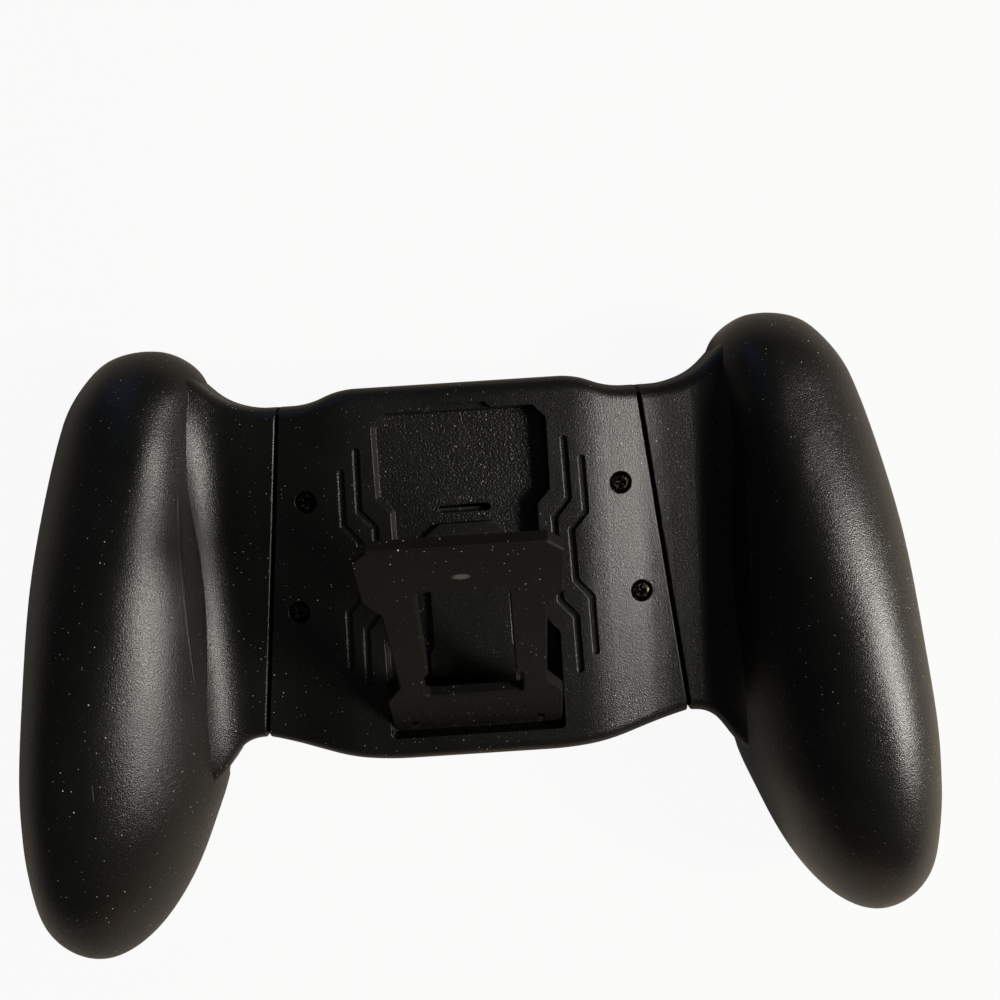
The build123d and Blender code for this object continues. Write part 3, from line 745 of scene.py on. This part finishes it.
@dataclass
class SeamShadeStrip:
    """Near-black strip on the wing's wall: painted shade, a dark sheet that stands in for the shade
    deep in the seam.
    """

    side: Side
    upper_half: float = 35.88
    upper_y: float = 48.2
    lower_y: float = -16.6
    slope_degrees: float = 6.6
    gap: float = 0.7
    thickness: float = 0.55
    low: float = 20.75
    high: float = 22.0
    pieces: int = 24
    rounding: float = 0.12

    def build(self) -> None:
        """Model the strip along the seam and let it ride on its grip."""
        slope = math.radians(self.slope_degrees)
        length = (self.upper_y - self.lower_y) / math.cos(slope)
        half_run = (self.upper_y - self.lower_y) / 2 * math.tan(slope)
        strip = self.straight_strip(length)
        sign = self.side.value
        middle_x = self.upper_half + half_run + self.gap / 2 - self.thickness / 2
        middle_y, middle_z = (self.upper_y + self.lower_y) / 2, (self.low + self.high) / 2
        strip.rotation_euler.z = sign * slope
        strip.location = Vector((sign * middle_x, middle_y, middle_z)) * MM
        bpy.ops.object.transform_apply(location=True, rotation=True, scale=False)
        bpy.ops.object.shade_smooth_by_angle(angle=math.radians(35))
        # Painted shade: the strip's near-black material darkens the seam.
        strip.data.materials.append(SeamShadeSheet().make())
        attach(strip, f"{self.side.word}_grip")
        log.info("modelled %s", strip.name)

    def straight_strip(self, length: float) -> bpy.types.Object:
        """Make the strip at the origin, along Y, with pressed edges and even cuts.

        Args:
            length: The strip's length in millimetres.

        Returns:
            The strip's object.
        """
        bpy.ops.object.select_all(action="DESELECT")
        bpy.ops.mesh.primitive_cube_add(size=1.0)
        strip = bpy.context.object
        strip.name = f"{self.side.word}_seam_seal"
        strip.scale = Vector((self.thickness, length, self.high - self.low)) * MM
        bpy.ops.object.transform_apply(location=False, rotation=False, scale=True)
        bevel = strip.modifiers.new("pressed_edges", "BEVEL")
        bevel.width = self.rounding * MM
        bevel.segments = 2
        bpy.ops.object.modifier_apply(modifier=bevel.name)
        bpy.ops.object.mode_set(mode="EDIT")
        for step in range(1, self.pieces):
            bpy.ops.mesh.select_all(action="SELECT")
            cut_y = (step / self.pieces - 0.5) * length * MM
            bpy.ops.mesh.bisect(plane_co=(0.0, cut_y, 0.0), plane_no=(0.0, 1.0, 0.0))
        bpy.ops.object.mode_set(mode="OBJECT")
        return strip


@dataclass
class TensionSpring:
    """Close-wound tension spring of drawn wire that pulls one grip in.

    It loops round a stop post of the tray and hooks on the nose of the slide frame. It stands for
    the plain cylinder of the CAD.
    """

    side: Side
    lane: str
    place_y: float
    height: float = 19.15
    post_x: float = 26.3
    coil_from: float = 29.0
    coil_to: float = 41.9
    nose_x: float = 44.0
    coil_radius: float = 1.1
    wire_radius: float = 0.19
    wire_sides: int = 8
    turns: int = 30
    steps_per_turn: int = 14
    loop_radius: float = 1.82
    loop_degrees: float = 318.0
    eye_radius: float = 0.85
    eye_degrees: float = 320.0
    wire: Steel = Steel("drawn_spring_steel", dark="#77746d", bright="#b9b6ae", roughness=0.28)

    def build(self) -> None:
        """Model the spring and put it in place."""
        pieces = [self.coil(), self.loop(), self.eye()]
        bpy.ops.object.select_all(action="DESELECT")
        for piece in pieces:
            piece.select_set(True)
        bpy.context.view_layer.objects.active = pieces[0]
        bpy.ops.object.join()
        spring = bpy.context.object
        spring.name = f"{self.side.word}_{self.lane}_coil_spring"
        if self.side is Side.LEFT:
            spring.scale.x = -1
            bpy.ops.object.transform_apply(location=False, rotation=False, scale=True)
            bpy.ops.object.mode_set(mode="EDIT")
            bpy.ops.mesh.select_all(action="SELECT")
            bpy.ops.mesh.normals_make_consistent(inside=False)
            bpy.ops.object.mode_set(mode="OBJECT")
        bpy.ops.object.shade_smooth_by_angle(angle=math.radians(40))
        spring.data.materials.append(self.wire.make())
        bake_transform(spring)
        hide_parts(f"{self.side.word}_{self.lane}_spring")
        log.info("modelled %s", spring.name)

    def coil(self) -> bpy.types.Object:
        """Wind the body of the spring from one ring with a screw modifier."""
        ring = self.wire_ring((0.0, 0.0, self.coil_radius))
        screw = ring.modifiers.new("winding", "SCREW")
        screw.axis = "X"
        screw.angle = math.tau
        screw.iterations = self.turns
        screw.steps = screw.render_steps = self.steps_per_turn
        screw.screw_offset = (self.coil_to - self.coil_from) / self.turns * MM
        screw.use_smooth_shade = True
        bpy.ops.object.modifier_apply(modifier=screw.name)
        return self.finish_run(ring, self.coil_from)

    def loop(self) -> bpy.types.Object:
        """Bend the loop that lies round the stop post and reaches the coil."""
        leg = self.coil_from - self.post_x - self.loop_radius
        return self.hook(self.loop_radius, self.loop_degrees, 26, leg, self.post_x)

    def eye(self) -> bpy.types.Object:
        """Bend the small eye that hooks on the nose of the slide frame."""
        middle_x = self.nose_x - self.eye_radius
        leg = self.coil_to - middle_x + self.eye_radius
        return self.hook(-self.eye_radius, self.eye_degrees, 20, leg, middle_x)

    def hook(
        self, start_x: float, degrees: float, steps: int, leg: float, middle_x: float
    ) -> bpy.types.Object:
        """Sweep a ring of wire about the vertical and carry its start straight to the coil.

        Args:
            start_x: Where the bend starts, from its middle, in millimetres.
            degrees: How far it turns.
            steps: How many steps the bend has.
            leg: The straight leg's way along X in millimetres.
            middle_x: Where the bend's middle goes.

        Returns:
            The hook's object.
        """
        ring = self.wire_ring((start_x, 0.0, 0.0))
        bpy.ops.object.mode_set(mode="EDIT")
        bpy.ops.mesh.select_all(action="SELECT")
        bpy.ops.mesh.spin(
            steps=steps, angle=math.radians(degrees), center=(0.0, 0.0, 0.0), axis=(0.0, 0.0, 1.0)
        )
        bpy.ops.mesh.select_all(action="DESELECT")
        bpy.ops.object.mode_set(mode="OBJECT")
        for vertex in ring.data.vertices:
            at_start = abs(vertex.co.y) < 0.02 * MM
            vertex.select = at_start and (vertex.co.x > 0) == (leg > 0)
        bpy.ops.object.mode_set(mode="EDIT")
        way = Vector((leg, 0.0, 0.0)) * MM
        bpy.ops.mesh.extrude_region_move(TRANSFORM_OT_translate={"value": way})
        bpy.ops.object.mode_set(mode="OBJECT")
        return self.finish_run(ring, middle_x)

    def wire_ring(self, centre: Triple) -> bpy.types.Object:
        """Add an upright ring of the wire's own section, from which a run is swept.

        Args:
            centre: The ring's middle in millimetres.

        Returns:
            The ring's object, its place in its mesh.
        """
        bpy.ops.object.select_all(action="DESELECT")
        bpy.ops.mesh.primitive_circle_add(
            vertices=self.wire_sides,
            radius=self.wire_radius * MM,
            location=Vector(centre) * MM,
            rotation=(math.pi / 2, 0.0, 0.0),
        )
        bpy.ops.object.transform_apply(location=True, rotation=True, scale=True)
        return bpy.context.object

    def finish_run(self, run: bpy.types.Object, place_x: float) -> bpy.types.Object:
        """Close a run's ends, turn its faces outwards and put it in place.

        Args:
            run: The run's object.
            place_x: Where its own origin goes along the spring, in millimetres.

        Returns:
            The run's object.
        """
        bpy.ops.object.mode_set(mode="EDIT")
        bpy.ops.mesh.select_all(action="SELECT")
        bpy.ops.mesh.remove_doubles(threshold=0.001 * MM)
        bpy.ops.mesh.fill_holes(sides=self.wire_sides)
        bpy.ops.mesh.select_all(action="SELECT")
        bpy.ops.mesh.normals_make_consistent(inside=False)
        bpy.ops.object.mode_set(mode="OBJECT")
        run.location = Vector((place_x, self.place_y, self.height)) * MM
        bpy.ops.object.transform_apply(location=True, rotation=False, scale=False)
        return run


@dataclass(frozen=True)
class Lamp:
    """Soft rectangular lamp that faces the object: place and size in millimetres."""

    name: str
    place: Triple
    size: Span
    watts: float
    colour: str

    def hang(self) -> None:
        """Hang the lamp at its place with its second side upright in the picture."""
        data = bpy.data.lights.new(self.name, "AREA")
        data.shape = "RECTANGLE"
        data.size, data.size_y = (side * MM for side in self.size)
        data.energy = self.watts
        data.color = linear(self.colour)[:3]
        lamp = bpy.data.objects.new(self.name, data)
        lamp.location = Vector(self.place) * MM
        lamp.rotation_euler = (-lamp.location).to_track_quat("-Z", "Y").to_euler()
        bpy.context.scene.collection.objects.link(lamp)
        log.info("hung the %s lamp", self.name)


@dataclass
class Studio:
    """Camera, lamps, world and floor. Places are in millimetres in the object's frame."""

    camera_place: Triple = (6.69, 46.88, 210.98)
    camera_tilt_degrees: Triple = (5.6, 0.16, 3.65)
    focal_share: float = 0.942
    sensor_mm: float = 36.0
    fill_colour: str = "#e9edf2"
    fill_strength: float = 0.05
    floor_half: float = 1500.0
    floor_colour: str = "#a39a8c"
    glow_share: float = 0.94
    mirror_share: float = 0.08
    white: str = "#ffffff"
    lamps: list[Lamp] = field(
        default_factory=lambda: [
            Lamp("key", (600.0, -30.0, 480.0), (190.0, 260.0), 8.5, "#fff9f2"),
            Lamp("sky", (-380.0, 640.0, 330.0), (220.0, 220.0), 0.18, "#8fbcff"),
            Lamp("low", (80.0, -700.0, 60.0), (420.0, 90.0), 0.06, "#ffc78c"),
        ]
    )

    def build(self) -> None:
        """Set the camera, the lamps, the world and the floor."""
        self.place_camera()
        for lamp in self.lamps:
            lamp.hang()
        self.light_world()
        self.lay_floor()

    def place_camera(self) -> None:
        """Put the camera where the photograph was taken from."""
        turn = Euler([math.radians(a) for a in self.camera_tilt_degrees], "XYZ").to_matrix()
        data = bpy.data.cameras.new("camera")
        data.sensor_width = self.sensor_mm
        data.lens = self.focal_share * self.sensor_mm
        data.clip_start = 0.01
        camera = bpy.data.objects.new("camera", data)
        place = Vector(self.camera_place) * MM
        camera.matrix_world = Matrix.Translation(place) @ turn.transposed().to_4x4()
        bpy.context.scene.collection.objects.link(camera)
        bpy.context.scene.camera = camera
        log.info("set the camera")

    def light_world(self) -> None:
        """Fill the shadows with a weak even light, and show white behind everything."""
        world = bpy.data.worlds.new("studio")
        bpy.context.scene.world = world
        tree = empty_tree(world)
        camera_ray = add_node(tree, "ShaderNodeLightPath").outputs["Is Camera Ray"]
        even, shown = (
            add_node(
                tree, "ShaderNodeBackground", values={"Color": linear(colour), "Strength": strength}
            ).outputs[0]
            for colour, strength in ((self.fill_colour, self.fill_strength), (self.white, 1.0))
        )
        mixed = add_node(tree, "ShaderNodeMixShader", links={0: camera_ray, 1: even, 2: shown})
        add_node(tree, "ShaderNodeOutputWorld", links={"Surface": mixed.outputs[0]})
        log.info("lit the world")

    def lay_floor(self) -> None:
        """Lay the pale floor that the object rests on, which looks white to the camera."""
        bpy.ops.object.select_all(action="DESELECT")
        bpy.ops.mesh.primitive_plane_add(size=2 * self.floor_half * MM, location=(0, 0, 0))
        floor = bpy.context.object
        floor.name = "floor"
        material = bpy.data.materials.new("white_sweep")
        tree = empty_tree(material)
        ray = add_node(tree, "ShaderNodeLightPath").outputs
        matt = add_node(
            tree, "ShaderNodeBsdfDiffuse", values={"Color": linear(self.floor_colour)}
        ).outputs[0]
        glow = add_node(
            tree, "ShaderNodeEmission", values={"Color": linear(self.white), "Strength": 1.0}
        ).outputs[0]
        seen = calculate(tree, "ADD", ray["Is Camera Ray"], ray["Is Transmission Ray"])
        mirrored = calculate(tree, "MULTIPLY", ray["Is Glossy Ray"], self.mirror_share)
        shown = calculate(tree, "ADD", seen, mirrored, clamp=True)
        share = calculate(tree, "MULTIPLY", shown, self.glow_share)
        mixed = add_node(tree, "ShaderNodeMixShader", links={0: share, 1: matt, 2: glow})
        add_node(tree, "ShaderNodeOutputMaterial", links={"Surface": mixed.outputs[0]})
        floor.data.materials.append(material)
        log.info("laid the floor")


def main() -> None:
    """Build the studio and dress every piece, in order."""
    logging.basicConfig(level=logging.INFO, format="%(name)s: %(message)s")
    bpy.context.scene.view_settings.view_transform = "Standard"
    Studio().build()
    Housing().build()
    Kickstand().build()
    root = Blend(radius_mm=2.6, across_mm=(56.0, 61.5), above_mm=24.5, along_mm=(0.0, 70.0))
    grip_shell = MouldedPlastic("spark_textured_abs_grip", blend=root)
    # Black plastic, painted darker than the shells so that the seam over the slide frame reads as
    # shade: partly its own colour, partly painted shade.
    slider_with_seam_shade = MouldedPlastic(
        "smooth_abs_slider_seam_shade", "#060606", "#0a0a0a", roughness=0.5, grain=Grain.POLISHED
    )
    for side in Side:
        Grip(side, grip_shell, slider_with_seam_shade, MouldedRubber("moulded_rubber_clamp")).build()
        # A painted shade strip goes in each seam.
        SeamShadeStrip(side).build()
        for lane, place_y in (("upper", 40.0), ("lower", -6.5)):
            TensionSpring(side, lane, place_y).build()


if __name__ == "__main__":
    main()
